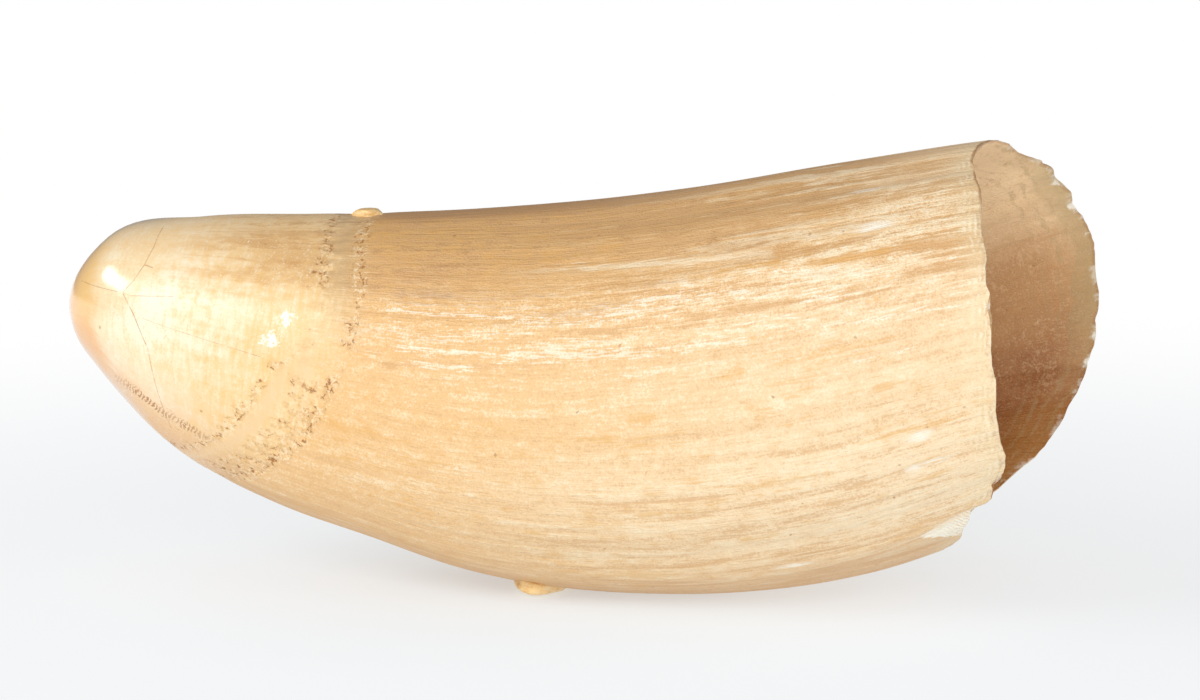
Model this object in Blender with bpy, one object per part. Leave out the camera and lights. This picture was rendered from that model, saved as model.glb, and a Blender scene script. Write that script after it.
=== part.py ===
"""A whale tooth: one curved tooth with an open root, standing on its convex edge.

The tooth is a loft. A back line and a belly line meet at the tip, ribs join the two lines,
and each rib carries a rounded section. The root is open: a thin rim runs round it, and the
pulp cavity narrows from the rim towards the middle of the tooth.

Metres, +Z up. +X points to the open root, -X to the tip.
"""

import math

import bmesh
import bpy
import numpy as np

MM = 0.001

# The outline in the plane of the curve, x and z in mm, from the tip to the open root.
TIP = (-85.0, 45.7)
BACK = (
    (-83.2, 51.2),
    (-77.1, 57.9),
    (-61.6, 60.9),
    (-42.2, 61.6),
    (-27.3, 62.0),
    (-12.7, 62.7),
    (19.4, 66.0),
    (47.4, 70.9),
    (73.9, 75.1),
    (91.4, 77.2),
)
BELLY = (
    (-83.1, 40.1),
    (-78.2, 34.2),
    (-64.2, 21.3),
    (-46.7, 12.9),
    (-30.9, 7.9),
    (-14.7, 3.0),
    (22.4, 0.05),
    (53.3, 4.4),
    (80.4, 13.9),
    (97.4, 19.2),
)

# The section: its power (2 is an ellipse, more is squarer), and its half depth as a share
# of its half height at some distances in mm from the tip.
SECTION_POWER = 2.12
DEPTH_SHARE = ((0.0, 1.0), (60.0, 1.0), (110.0, 1.065), (200.0, 1.088))

# The rim: angle in degrees from the back towards the far side, distance in mm from the tip.
# The lower corner on the near side, between 190 and 238 degrees, is broken off.
RIM = (
    (0, 173.5),
    (18.6, 174.8),
    (28.5, 175.2),
    (36.4, 178.2),
    (42, 179.2),
    (47.4, 179.1),
    (51.2, 180.3),
    (57.2, 181.2),
    (61.7, 181.5),
    (68.9, 183.2),
    (74.4, 183.7),
    (81.9, 183.3),
    (89.7, 183.4),
    (97.2, 182.3),
    (104.1, 181.5),
    (109.7, 180.2),
    (116.3, 178.9),
    (122.9, 176.7),
    (130, 174.9),
    (136, 172.6),
    (142, 168.7),
    (148, 165.1),
    (156, 159.8),
    (164, 158.5),
    (172, 157.8),
    (180, 158.0),
    (186, 158.9),
    (190, 160.3),
    (196, 162.8),
    (202, 164.8),
    (213.3, 167.6),
    (217.1, 168.3),
    (220.5, 172.2),
    (226.9, 173.2),
    (233.5, 175.9),
    (238.5, 176.5),
    (248.7, 176.4),
    (258, 176.9),
    (274, 177.2),
    (286.3, 177.6),
    (298.2, 177.3),
    (305.5, 176.5),
    (319, 176.1),
    (328.5, 174.7),
    (341.6, 173.0),
    (355, 173.4),
    (360, 173.5),
)
RIM_WALL = 1.0

# The pulp cavity: where it ends, in mm from the tip, and how it narrows on the way.
CAVITY_END = 96.0
CAVITY_TAPER = 0.75

# Low lengthwise ridges on the root, in mm, and the shallow ring between crown and root.
RIDGES = ((7, 0.22, 0.4), (13, 0.16, 1.9), (19, 0.10, 4.1))
RIDGE_START = 60.0
RIDGE_FULL = 130.0
RING_PLACE = 56.0
RING_WIDTH = 6.0
RING_DEPTH = 0.25

# Lumps of cementum, in mm: middle, half sizes, and the height at which each one ends flat.
# The tooth stands on the flat end of the belly lump and on the belly behind it.
LUMPS = {
    "back lump": ((-32.0, -0.4, 61.6), (2.9, 2.4, 1.5), 62.7),
    "belly lump": ((-1.8, -2.4, 1.7), (4.8, 6.8, 2.5), 0.0),
}

COLUMNS = 72
OUTER_ROWS = 42
INNER_ROWS = 18
LUMP_SEGMENTS = 20
LUMP_RINGS = 12

COLOUR = (0.62, 0.48, 0.31, 1.0)
ROUGHNESS = 0.45


def clear_scene():
    for item in list(bpy.data.objects):
        bpy.data.objects.remove(item, do_unlink=True)


def smooth_curve(knots, values, at):
    """A smooth line through the values at the knots, read at any places."""
    gaps = np.diff(knots)[:, None]
    slopes = np.diff(values, axis=0) / gaps
    inner = slopes[:-1] * gaps[1:] + slopes[1:] * gaps[:-1]
    inner = inner / (gaps[:-1] + gaps[1:])
    slopes = np.vstack([slopes[:1], inner, slopes[-1:]])
    left = np.searchsorted(knots, at, side="right") - 1
    left = np.clip(left, 0, len(knots) - 2)
    gap = (knots[left + 1] - knots[left])[..., None]
    s = ((at - knots[left]) / gap[..., 0])[..., None]
    start = (2 * s**3 - 3 * s**2 + 1) * values[left]
    leave = (s**3 - 2 * s**2 + s) * gap * slopes[left]
    end = (3 * s**2 - 2 * s**3) * values[left + 1]
    arrive = (s**3 - s**2) * gap * slopes[left + 1]
    return start + leave + end + arrive


def outline():
    """The whole outline as one line: distances from the tip, belly side negative, and points."""
    back = np.array((TIP,) + BACK)
    belly = np.array((TIP,) + BELLY)
    steps = np.hypot(*np.diff(back, axis=0).T) + np.hypot(*np.diff(belly, axis=0).T)
    distance = np.concatenate([[0.0], np.cumsum(steps / 2)])
    knots = np.concatenate([-distance[::-1], distance[1:]])
    return knots, np.vstack([belly[::-1], back[1:]])


def rib(distance):
    """Centre and half height vector of the rib at each distance, both as x and z."""
    knots, points = outline()
    back = smooth_curve(knots, points, distance)
    belly = smooth_curve(knots, points, -distance)
    return (back + belly) / 2, (back - belly) / 2


def section(angle):
    """Shares of the half height and half depth at each angle from the back."""
    cosine = np.cos(angle)
    sine = np.sin(angle)
    power = 2 / SECTION_POWER
    up = np.sign(cosine) * np.abs(cosine) ** power
    side = np.sign(sine) * np.abs(sine) ** power
    return up, side


def relief(distance, angle):
    """Height of the ridges and the ring above the plain surface, in mm."""
    grown = np.clip((distance - RIDGE_START) / (RIDGE_FULL - RIDGE_START), 0, 1)
    height = sum(size * np.cos(count * angle + turn) for count, size, turn in RIDGES)
    ring = np.exp(-(((distance - RING_PLACE) / RING_WIDTH) ** 2))
    return height * grown - RING_DEPTH * ring


def surface(distance, angle, share, raised):
    """Points at a share of the way from the middle of each rib to its surface."""
    centre, half = rib(distance)
    up, side = section(angle)
    depth_at, depth_share = np.array(DEPTH_SHARE).T
    high = np.hypot(half[..., 0], half[..., 1])
    deep = high * np.interp(distance, depth_at, depth_share)
    size = share * (1 + raised / np.maximum(high, 1.0))
    x = centre[..., 0] + half[..., 0] * up * size
    z = centre[..., 1] + half[..., 1] * up * size
    return np.stack([x, deep * side * size, z], axis=-1)


def rim_distance(angle):
    at, distance = np.array(RIM, dtype=float).T
    return np.interp(np.degrees(angle), at, distance)


def outer_points(angle):
    """Rows of the outside, from beside the tip to the rim."""
    steps = (np.arange(1, OUTER_ROWS + 1) / OUTER_ROWS) ** 1.25
    distance = steps[:, None] * rim_distance(angle)[None, :]
    angles = np.broadcast_to(angle, distance.shape)
    return surface(distance, angles, 1.0, relief(distance, angles))


def inner_points(angle):
    """Rows of the pulp cavity, from the rim to beside its end."""
    steps = (np.arange(INNER_ROWS) / INNER_ROWS) ** 0.9
    rim = rim_distance(angle)[None, :]
    distance = rim + (CAVITY_END - rim) * steps[:, None]
    angles = np.broadcast_to(angle, distance.shape)
    _, half = rib(distance)
    high = np.hypot(half[..., 0], half[..., 1])
    mouth = 1 - RIM_WALL / high
    return surface(distance, angles, mouth * (1 - steps[:, None]) ** CAVITY_TAPER, 0.0)


def ring_faces(first, second, count):
    nxt = (np.arange(count) + 1) % count
    here = np.arange(count)
    return np.stack([first + here, first + nxt, second + nxt, second + here], axis=-1)


def tooth_mesh():
    """The closed body: tip, outside, rim, cavity and the end of the cavity."""
    angle = (np.arange(COLUMNS) + 0.5) / COLUMNS * 2 * math.pi
    tip = np.array([[TIP[0], 0.0, TIP[1]]])
    centre, _ = rib(np.array([CAVITY_END]))
    end = np.array([[centre[0, 0], 0.0, centre[0, 1]]])
    outer = outer_points(angle).reshape(-1, 3)
    inner = inner_points(angle).reshape(-1, 3)
    points = np.vstack([tip, outer, inner, end]) * MM
    rows = OUTER_ROWS + INNER_ROWS
    starts = 1 + np.arange(rows) * COLUMNS
    quads = [ring_faces(a, b, COLUMNS) for a, b in zip(starts[:-1], starts[1:])]
    nxt = (np.arange(COLUMNS) + 1) % COLUMNS
    here = np.arange(COLUMNS)
    cap = np.stack([np.zeros(COLUMNS, int), starts[0] + nxt, starts[0] + here], axis=-1)
    last = len(points) - 1
    bottom = np.stack([starts[-1] + here, starts[-1] + nxt, np.full(COLUMNS, last)], axis=-1)
    faces = np.vstack(quads).tolist() + cap.tolist() + bottom.tolist()
    mesh = bpy.data.meshes.new("tooth")
    mesh.from_pydata(points.tolist(), [], faces)
    outward(mesh)
    return mesh


def outward(mesh):
    work = bmesh.new()
    work.from_mesh(mesh)
    bmesh.ops.recalc_face_normals(work, faces=work.faces)
    work.to_mesh(mesh)
    work.free()


def material():
    made = bpy.data.materials.new("tooth")
    made.use_nodes = True
    shader = made.node_tree.nodes["Principled BSDF"]
    shader.inputs["Base Color"].default_value = COLOUR
    shader.inputs["Roughness"].default_value = ROUGHNESS
    made.diffuse_color = COLOUR
    return made


def collection(name, shown):
    made = bpy.data.collections.new(name)
    made.hide_render = not shown
    bpy.context.scene.collection.children.link(made)
    return made


def lump_object(name, middle, half_sizes, flat_end):
    """An oval lump with one flat end, above its middle or below it."""
    mesh = bpy.data.meshes.new(name)
    work = bmesh.new()
    bmesh.ops.create_uvsphere(
        work, u_segments=LUMP_SEGMENTS, v_segments=LUMP_RINGS, radius=1.0
    )
    end = (flat_end - middle[2]) / half_sizes[2]
    for corner in work.verts:
        up = corner.co.z
        corner.co.z = min(up, end) if end > 0 else max(up, end)
    work.to_mesh(mesh)
    work.free()
    lump = bpy.data.objects.new(name, mesh)
    lump.location = [value * MM for value in middle]
    lump.scale = [value * MM for value in half_sizes]
    lump.hide_render = True
    lump.display_type = "WIRE"
    return lump


def add_lumps(tooth, helpers):
    for name, (middle, half_sizes, flat_end) in LUMPS.items():
        lump = lump_object(name, middle, half_sizes, flat_end)
        helpers.objects.link(lump)
        union = tooth.modifiers.new(name, "BOOLEAN")
        union.operation = "UNION"
        union.solver = "EXACT"
        union.object = lump


def main():
    clear_scene()
    shown = collection("whale tooth", True)
    helpers = collection("lumps", False)
    tooth = bpy.data.objects.new("tooth", tooth_mesh())
    shown.objects.link(tooth)
    tooth.data.materials.append(material())
    add_lumps(tooth, helpers)


main()
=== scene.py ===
"""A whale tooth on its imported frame: fine relief, a chipped rim, a painted surface and a studio.

Every surface is a function of two parameters, worked out with numpy as whole arrays.
"""

import math
from functools import reduce
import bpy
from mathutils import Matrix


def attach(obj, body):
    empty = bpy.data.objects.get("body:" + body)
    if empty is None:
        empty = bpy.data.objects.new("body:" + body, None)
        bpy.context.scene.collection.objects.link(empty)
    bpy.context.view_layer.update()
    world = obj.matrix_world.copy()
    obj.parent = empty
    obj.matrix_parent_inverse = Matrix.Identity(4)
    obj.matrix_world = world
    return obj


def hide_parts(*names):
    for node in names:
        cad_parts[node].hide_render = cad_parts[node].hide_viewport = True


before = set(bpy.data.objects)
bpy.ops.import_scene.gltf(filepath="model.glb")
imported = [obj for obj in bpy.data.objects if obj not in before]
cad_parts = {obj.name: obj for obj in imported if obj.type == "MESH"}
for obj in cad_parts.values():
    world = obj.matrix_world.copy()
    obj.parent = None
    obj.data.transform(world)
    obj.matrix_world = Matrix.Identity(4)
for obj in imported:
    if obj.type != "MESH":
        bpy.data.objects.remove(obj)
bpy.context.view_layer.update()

from types import SimpleNamespace

import bpy
import numpy as np
from bpy.props import FloatProperty, FloatVectorProperty, IntProperty, PointerProperty
from mathutils import Matrix, Vector

bl_info = {
    "name": "Whale Tooth",
    "version": (1, 0, 0),
    "blender": (4, 5, 0),
    "location": "View3D > Sidebar > Tooth",
    "description": "Builds a whale tooth with its relief, its painted surface and a studio",
    "category": "Object",
}

MM = 0.001
NODE = "tooth"
BODY = "root"

# The outline in the plane of the curve, x and z in mm, from the tip to the open root.
TIP = (-85.0, 45.7)
BACK = (
    (-83.2, 51.2), (-77.1, 57.9), (-61.6, 60.9), (-42.2, 61.6), (-27.3, 62.0), (-12.7, 62.7),
    (19.4, 66.0), (47.4, 70.9), (73.9, 75.1), (91.4, 77.2),
)
BELLY = (
    (-83.1, 40.1), (-78.2, 34.2), (-64.2, 21.3), (-46.7, 12.9), (-30.9, 7.9), (-14.7, 3.0),
    (22.4, 0.05), (53.3, 4.4), (80.4, 13.9), (97.4, 19.2),
)
SECTION_POWER = 2.12
DEPTH_SHARE = ((0.0, 1.0), (60.0, 1.0), (110.0, 1.06), (200.0, 1.08))

# The rim: angle in degrees from the back towards the far side, distance in mm from the tip.
RIM = (
    (0, 173.5), (18.6, 174.8), (25.5, 174.8), (28.5, 175.2), (34.8, 177.6), (36.4, 178.2),
    (39.0, 178.2), (42.0, 179.2), (45.0, 179.4), (47.4, 179.1), (48.8, 179.4), (51.2, 180.3),
    (54.7, 181.3), (57.2, 181.2), (59.0, 181.0), (61.7, 181.5), (64.3, 182.2), (68.9, 182.9),
    (74.4, 183.4), (78.7, 183.2), (81.9, 183.0), (85.5, 182.9), (89.7, 183.1), (94.3, 182.7),
    (97.2, 181.9), (100.8, 181.9), (104.1, 181.5), (107.2, 180.8), (109.7, 180.2),
    (113.6, 179.7), (116.3, 178.9), (119.2, 178.2), (122.9, 176.7), (127.7, 175.7),
    (130.0, 174.9), (133.0, 173.6), (136.0, 172.6), (139.0, 171.1), (142.0, 168.7),
    (145.0, 166.8), (148.0, 165.1), (151.0, 162.2), (156.0, 159.8), (164.0, 158.5),
    (172.0, 157.8), (180.0, 158.0), (186.0, 158.9), (190.0, 160.3), (193.0, 161.2),
    (196.0, 162.8), (199.0, 164.1), (202.0, 164.8), (207.1, 165.8), (213.3, 167.6),
    (217.1, 168.3), (218.6, 168.6), (219.2, 171.0), (220.5, 172.2), (223.5, 172.8),
    (226.9, 173.2), (229.0, 174.7), (233.5, 175.9), (238.5, 176.5), (243.3, 176.2),
    (248.7, 176.4), (254.1, 176.4), (258.0, 176.9), (263.4, 177.2), (266.8, 176.9),
    (274.0, 177.2), (278.8, 177.6), (281.9, 177.4), (286.3, 177.6), (289.9, 177.0),
    (294.4, 177.1), (298.2, 177.3), (301.2, 177.0), (305.5, 176.5), (309.9, 176.2),
    (319.0, 176.1), (325.1, 175.4), (328.5, 174.7), (335.8, 173.8), (341.6, 173.0),
    (347.3, 173.2), (355.0, 173.4), (360, 173.5),
)
CAVITY_END = 96.0
CAVITY_TAPER = 0.75
# The share of the way to the rim where the rim's own close rows start, how far the lip bulges
# in shares of the wall, and how the cavity's rows crowd towards the rim.
RIM_ROWS_FROM = 0.972
LIP_BULGE = 0.05
CAVITY_CROWDING = 0.9

# Broad ridges: count round the tooth, height in mm and turn; and where they start and are full.
RIDGES = ((7, 0.22, 0.4), (13, 0.16, 1.9), (19, 0.10, 4.1))
RIDGE_START = 60.0
RIDGE_FULL = 130.0
# Heights in mm. The band's waist and furrows have a depth and a share that varies.
DENTS = 0.10
WAIST = (0.16, 0.06)
FURROW = (0.08, 0.06)
FLAT_BELLY = 0.06

# The fresh break by the near lower corner: mm from the tip where it starts and where it is
# widest, and at both places the angle in degrees of its upper and of its lower edge.
BREAK_REACH = (159.5, 167.5)
BREAK_TOP = (214.6, 218.6)
BREAK_LOW = (214.5, 200.5)

# How densely the rows of points follow each other, by share of the way to the rim.
ROW_DENSITY = (
    (0.0, 2.2), (0.08, 1.2), (0.22, 1.0), (0.26, 2.4), (0.40, 2.4), (0.45, 1.0), (1.0, 1.0),
)

# The band between crown and root: its distance from the tip is a polynomial in the cosine
# of the angle from the back.
BAND = (62.9, 11.6, -14.2)
# The paint's grain lies on a cylinder of this radius in cm; ARC is its mm of arc per radian.
GRAIN_RADIUS = 3.3
ARC = 10 * GRAIN_RADIUS

# Each lump in mm: its middle, half sizes, the height of its flat end, and how pointed it is.
LUMPS = {
    "back": ((-32.0, -0.4, 61.6), (3.0, 2.4, 1.5), 62.7, 2.0),
    "belly": ((-1.8, -4.0, 2.1), (4.9, 8.4, 2.9), 0.0, 1.35),
}
LUMP_GRID = (40, 64)  # rows and columns
BUMP_DEPTH = 0.2 * MM

SEED = 41
# Sums of waves: the range of whole counts round the tooth, the range of wavelengths in mm,
# how many waves, and the seed of their random draws.
WAVES = {
    "fine": ((22, 64), (60.0, 160.0), 16, SEED),
    "finer": ((64, 110), (30.0, 80.0), 18, SEED + 7),
    "rough": ((30, 90), (6.0, 14.0), 16, SEED + 2),
    "dents": ((1, 6), (50.0, 110.0), 8, SEED + 1),
    "jag": ((40, 130), (50.0, 90.0), 18, SEED + 3),
    "wall": ((5, 40), (50.0, 90.0), 9, 5),
    "bevel": ((8, 50), (50.0, 90.0), 9, 6),
    "soft": ((1, 9), (30.0, 70.0), 9, SEED + 4),
}
WHITE = (1.0, 1.0, 1.0, 1.0)
VIEW = {
    "target": (0.0074, 0.0, 0.0397),
    "azimuth": 15.0,
    "elevation": 8.0,
    "distance": 0.9,
    "roll": 1.0,
    "lens": 163.6,
}

# Each soft box: azimuth and elevation in degrees, distance and size in m. Its power is a setting.
LIGHTS = {
    "key": (-40.0, 33.0, 1.2, (0.70, 0.38)),
    "left": (-78.0, 26.0, 1.1, (0.45, 0.24)),
    "front": (5.0, 22.0, 1.5, (1.2, 0.5)),
    "side": (60.0, 18.0, 1.2, (0.5, 0.5)),
}


# ---- the tooth's form -------------------------------------------------------------------


def smooth_curve(knots, values, at):
    """Cubic Hermite line through values at knots; slopes are gap-weighted means of chords."""
    gaps = np.diff(knots)[:, None]
    slopes = np.diff(values, axis=0) / gaps
    inner = slopes[:-1] * gaps[1:] + slopes[1:] * gaps[:-1]
    inner = inner / (gaps[:-1] + gaps[1:])
    slopes = np.vstack([slopes[:1], inner, slopes[-1:]])
    left = np.clip(np.searchsorted(knots, at, side="right") - 1, 0, len(knots) - 2)
    gap = (knots[left + 1] - knots[left])[..., None]
    s = ((at - knots[left]) / gap[..., 0])[..., None]
    start = (2 * s**3 - 3 * s**2 + 1) * values[left]
    leave = (s**3 - 2 * s**2 + s) * gap * slopes[left]
    end = (3 * s**2 - 2 * s**3) * values[left + 1]
    arrive = (s**3 - s**2) * gap * slopes[left + 1]
    return start + leave + end + arrive


def smooth_step(value, low, high):
    """0 below low, 1 above high, and 3x^2 - 2x^3 between."""
    x = np.clip((value - low) / (high - low), 0, 1)
    return x * x * (3 - 2 * x)


def rib(distance):
    """Centre and half height vector of the rib at each distance: mean and half difference
    of the back line and the belly line there."""
    back = np.array((TIP,) + BACK)
    belly = np.array((TIP,) + BELLY)
    steps = np.hypot(*np.diff(back, axis=0).T) + np.hypot(*np.diff(belly, axis=0).T)
    place = np.concatenate([[0.0], np.cumsum(steps / 2)])
    knots = np.concatenate([-place[::-1], place[1:]])
    points = np.vstack([belly[::-1], back[1:]])
    over = smooth_curve(knots, points, distance)
    under = smooth_curve(knots, points, -distance)
    return (over + under) / 2, (over - under) / 2


def length(vectors):
    return np.hypot(vectors[..., 0], vectors[..., 1])


def surface(distance, angle, share, raised):
    """centre + share * (half height * cos' + half depth * sin'), with cos' and sin' the
    superellipse shares sign(cos)|cos|^(2/p), and raised mm added outwards."""
    centre, half = rib(distance)
    power = 2 / SECTION_POWER
    up = np.sign(np.cos(angle)) * np.abs(np.cos(angle)) ** power
    side = np.sign(np.sin(angle)) * np.abs(np.sin(angle)) ** power
    high = length(half)
    deep = high * np.interp(distance, *np.array(DEPTH_SHARE).T)
    size = share * (1 + raised / np.maximum(high, 1.0))
    x = centre[..., 0] + half[..., 0] * up * size
    z = centre[..., 1] + half[..., 1] * up * size
    return np.stack([x, deep * side * size, z], axis=-1)


def waves(distance, angle, name):
    """Sum of cosines with whole counts round the tooth and random wavelengths along it,
    scaled to about one."""
    counts, lengths, terms, seed = WAVES[name]
    draw = np.random.default_rng(seed)
    total = np.zeros_like(distance)
    for _ in range(terms):
        count = draw.integers(counts[0], counts[1] + 1)
        length = draw.uniform(*lengths)
        turn, shift = draw.uniform(0, 2 * np.pi, 2)
        lean = 2 * np.pi * distance / length + shift
        total = total + np.cos(count * angle + turn + 1.3 * np.sin(lean)) * np.cos(lean / 3)
    return total / math.sqrt(terms)


def band_distance(angle):
    cosine = np.cos(angle)
    return BAND[0] + BAND[1] * cosine + BAND[2] * cosine**2


def relief(distance, angle, shape):
    """Height in mm of ridges grown in along the root, broad dents and the band's furrows, and
    three of the fields it is made of: ridges, finer ridges, roughness."""
    grown = np.clip((distance - RIDGE_START) / (RIDGE_FULL - RIDGE_START), 0, 1)
    broad = sum(size * np.cos(count * angle + turn) for count, size, turn in RIDGES)
    fine = waves(distance, angle, "fine")
    finer = waves(distance, angle, "finer")
    rough = waves(distance, angle, "rough")
    low = smooth_step(-np.cos(angle), 0.1, 0.7) * smooth_step(distance, 100, 150)
    dents = waves(distance, angle, "dents")
    root = smooth_step(distance, 62.0, 90.0)
    ridges = fine * (1 + 0.5 * low) + finer * (0.5 + 0.7 * low)
    height = broad * grown + shape.ridge_height / MM * ridges * root
    height = height + DENTS * dents * smooth_step(distance, 15.0, 60.0)
    off = distance - band_distance(angle)
    under = smooth_step(-np.cos(angle), -0.35, 0.0)
    waist = np.exp(-((off / 5.0) ** 2))
    furrows = np.exp(-(((off + 3.2 + 6.3 * under) / 1.0) ** 2))
    furrows = furrows + np.exp(-(((off - 3.1 + 1.6 * under) / 1.2) ** 2))
    height = height - waist * (WAIST[0] + WAIST[1] * rough)
    height = height - furrows * (FURROW[0] + FURROW[1] * rough)
    height = height - FLAT_BELLY * smooth_step(-np.cos(angle), 0.85, 0.97)
    return height, np.stack([fine, finer, rough], axis=-1)


def rim_line(angle):
    """Straight lines between the rim's points, and a fine jag."""
    at, distance = np.array(RIM, dtype=float).T
    line = np.interp(np.degrees(angle) % 360, at, distance)
    jag = waves(np.zeros_like(angle), angle, "jag")
    return line + 0.05 * jag


def broken_corner(distance, angle):
    """1 on the fresh break by the near lower corner of the rim: a wedge in distance and
    angle, widest at the rim and pointing back towards the tip."""
    degrees = np.degrees(angle) % 360
    reach = smooth_step(distance, *BREAK_REACH)
    top = BREAK_TOP[0] + (BREAK_TOP[1] - BREAK_TOP[0]) * reach
    low = BREAK_LOW[0] + (BREAK_LOW[1] - BREAK_LOW[0]) * reach
    wedge = smooth_step(degrees, low - 2, low + 2) * (1 - smooth_step(degrees, top, top + 1.0))
    return wedge * smooth_step(distance, 158.0, 161.0)


def spaced_rows(count):
    """Shares of the way to the rim, closest together at the tip and over the band."""
    at, density = np.array(ROW_DENSITY).T
    fine = np.linspace(0, 1, 2000)
    total = np.cumsum(np.interp(fine, at, density))
    return np.interp(np.arange(1, count + 1) / count, total / total[-1], fine)


def wall_thickness(wall, depth):
    """The wall thins from its full thickness 5 mm down to a third of it at the rim."""
    return wall * (0.35 + 0.65 * smooth_step(depth, -0.5, 5.0))


def tooth_grid(shape):
    """Rows of points round the tooth: outside from the tip to the rim, the rounded lip, and
    the cavity wall down to its end. Gives points, and the grain, place and wear vectors."""
    count = shape.columns
    angle = (np.arange(count) + 0.5) / count * 2 * np.pi
    rim = rim_line(angle)
    wall = shape.rim_wall / MM * (1 + 0.25 * waves(rim * 0, angle, "wall"))

    # the outside
    body = spaced_rows(shape.rows) * RIM_ROWS_FROM
    last = np.linspace(RIM_ROWS_FROM, 1.0, shape.rim_rows + 1)[1:]
    distance = np.concatenate([body, last])[:, None] * rim
    angles = np.broadcast_to(angle, distance.shape)
    bevel_width = 0.5 + 0.3 * waves(rim * 0, angle, "bevel")
    bevel = 1 - smooth_step(rim - distance, 0.0, np.maximum(bevel_width, 0.1))
    broken = broken_corner(distance, angles)
    gone = 0.10 * bevel + broken * smooth_step(distance, 158.0, 169.0) * 0.3
    raised, wear = relief(distance, angles, shape)
    raised = raised - wall * gone
    outside = surface(distance, angles, 1.0, raised)

    # the lip, from the outside over the edge to the cavity wall
    turn = np.linspace(0, np.pi, shape.lip_rows + 2)[1:-1, None]
    high = length(rib(rim)[1])
    outer = raised[-1] / high
    inner = -wall_thickness(wall, 0.0) / high
    over = (1 - np.cos(turn)) / 2
    lip_share = 1 + outer + (inner - outer) * over
    lip_distance = rim + LIP_BULGE * wall * np.sin(turn)
    lip_angles = np.broadcast_to(angle, lip_distance.shape)
    lip = surface(lip_distance, lip_angles, lip_share, 0.0)

    # the cavity
    deep = ((np.arange(shape.inner_rows) / shape.inner_rows) ** CAVITY_CROWDING)[:, None]
    inside_distance = rim + (CAVITY_END - rim) * deep
    inside_angles = np.broadcast_to(angle, inside_distance.shape)
    here = wall_thickness(wall, rim - inside_distance)
    share = 1 - here / length(rib(inside_distance)[1])
    share = share * (1 - deep) ** CAVITY_TAPER
    soft = waves(inside_distance, inside_angles, "soft")
    soft = 0.15 * soft * smooth_step(rim - inside_distance, 1.0, 12.0)
    inside = surface(inside_distance, inside_angles, share, soft)

    points = np.concatenate([outside, lip, inside])
    all_distance = np.concatenate([distance, lip_distance, inside_distance])
    all_angles = np.broadcast_to(angle, all_distance.shape)
    within = np.concatenate([distance * 0, lip_distance * 0 + over, inside_distance * 0 + 1])
    fresh = np.concatenate([broken, broken_corner(lip_distance, lip_angles), share * 0])
    grain = np.stack(
        [
            all_distance / 10,
            GRAIN_RADIUS * np.cos(all_angles),
            GRAIN_RADIUS * np.sin(all_angles),
        ],
        axis=-1,
    )
    place = np.stack([rim - all_distance, within, fresh], axis=-1)
    rest = np.zeros((len(points) - len(wear), count, 3))
    return points, grain, place, np.concatenate([wear, rest])


def lump_grid(middle, half_sizes, flat_end, point, rows, columns):
    """An oval closed at both poles: x = a cos v, and round it y and z follow an ellipse
    times sin(v)^point, with a low keel and one flat end; above 1 its ends are pointed."""
    v = (np.arange(1, rows) / rows * np.pi)[:, None]
    w = (np.arange(columns) / columns * 2 * np.pi)[None, :]
    size = np.sin(v) ** point
    keel = 1 + 0.05 * np.cos(5 * w + 1.2) + 0.03 * np.cos(9 * w + 3 * v)
    x = np.cos(v) + 0.03 * np.sin(3 * w + 2 * v)
    y = size * np.cos(w) * keel
    z = size * np.sin(w) * keel
    end = (flat_end - middle[2]) / half_sizes[2]
    z = np.minimum(z, end) if end > 0 else np.maximum(z, end)
    grid = np.stack([x + 0 * z, y, z], axis=-1) * half_sizes + middle
    poles = np.array([[1.0, 0.0, 0.0], [-1.0, 0.0, 0.0]]) * half_sizes + middle
    return grid, poles


# ---- meshes -----------------------------------------------------------------------------


def ring_faces(rows, columns, first=0):
    """Quads between rows of a closed ring grid, as index arrays."""
    row, column = np.meshgrid(np.arange(rows - 1), np.arange(columns), indexing="ij")
    after = (column + 1) % columns
    a = row * columns + column
    b = row * columns + after
    quads = np.stack([a, b, b + columns, a + columns], axis=-1).reshape(-1, 4)
    return quads + first


def fan_faces(pole, start, columns, turned):
    here = start + np.arange(columns)
    after = start + (np.arange(columns) + 1) % columns
    sides = (after, here) if turned else (here, after)
    return np.stack([np.full(columns, pole), *sides], axis=-1)


def closed_mesh(name, grid, first_pole, last_pole, attributes=None):
    """A mesh of a ring grid closed by a pole at each end, faces outwards, smooth."""
    rows, columns = grid.shape[:2]
    points = np.concatenate([grid.reshape(-1, 3), [first_pole, last_pole]]) * MM
    total = rows * columns
    quads = ring_faces(rows, columns)
    caps = [
        fan_faces(total, 0, columns, True),
        fan_faces(total + 1, total - columns, columns, False),
    ]
    faces = quads.tolist() + np.concatenate(caps).tolist()
    mesh = bpy.data.meshes.new(name)
    mesh.from_pydata(points.tolist(), [], faces)
    corners = points[quads]
    across = np.cross(corners[:, 2] - corners[:, 0], corners[:, 3] - corners[:, 1])
    if (corners.mean(1) * across).sum() < 0:
        mesh.flip_normals()
    for key, values in (attributes or {}).items():
        ends = np.stack([values[0].mean(0), values[-1].mean(0)])
        flat = np.concatenate([values.reshape(-1, 3), ends])
        made = mesh.attributes.new(key, "FLOAT_VECTOR", "POINT")
        made.data.foreach_set("vector", flat.astype(np.float32).ravel())
    mesh.polygons.foreach_set("use_smooth", np.ones(len(mesh.polygons), bool))
    mesh.update()
    return mesh


def piece(name, mesh, material):
    """Adds the object at the origin, gives it its material and ties it to the frame's body."""
    made = bpy.data.objects.new(name, mesh)
    bpy.context.scene.collection.objects.link(made)
    made.data.materials.append(material)
    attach(made, BODY)
    return made


# ---- shader expressions -----------------------------------------------------------------


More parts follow.
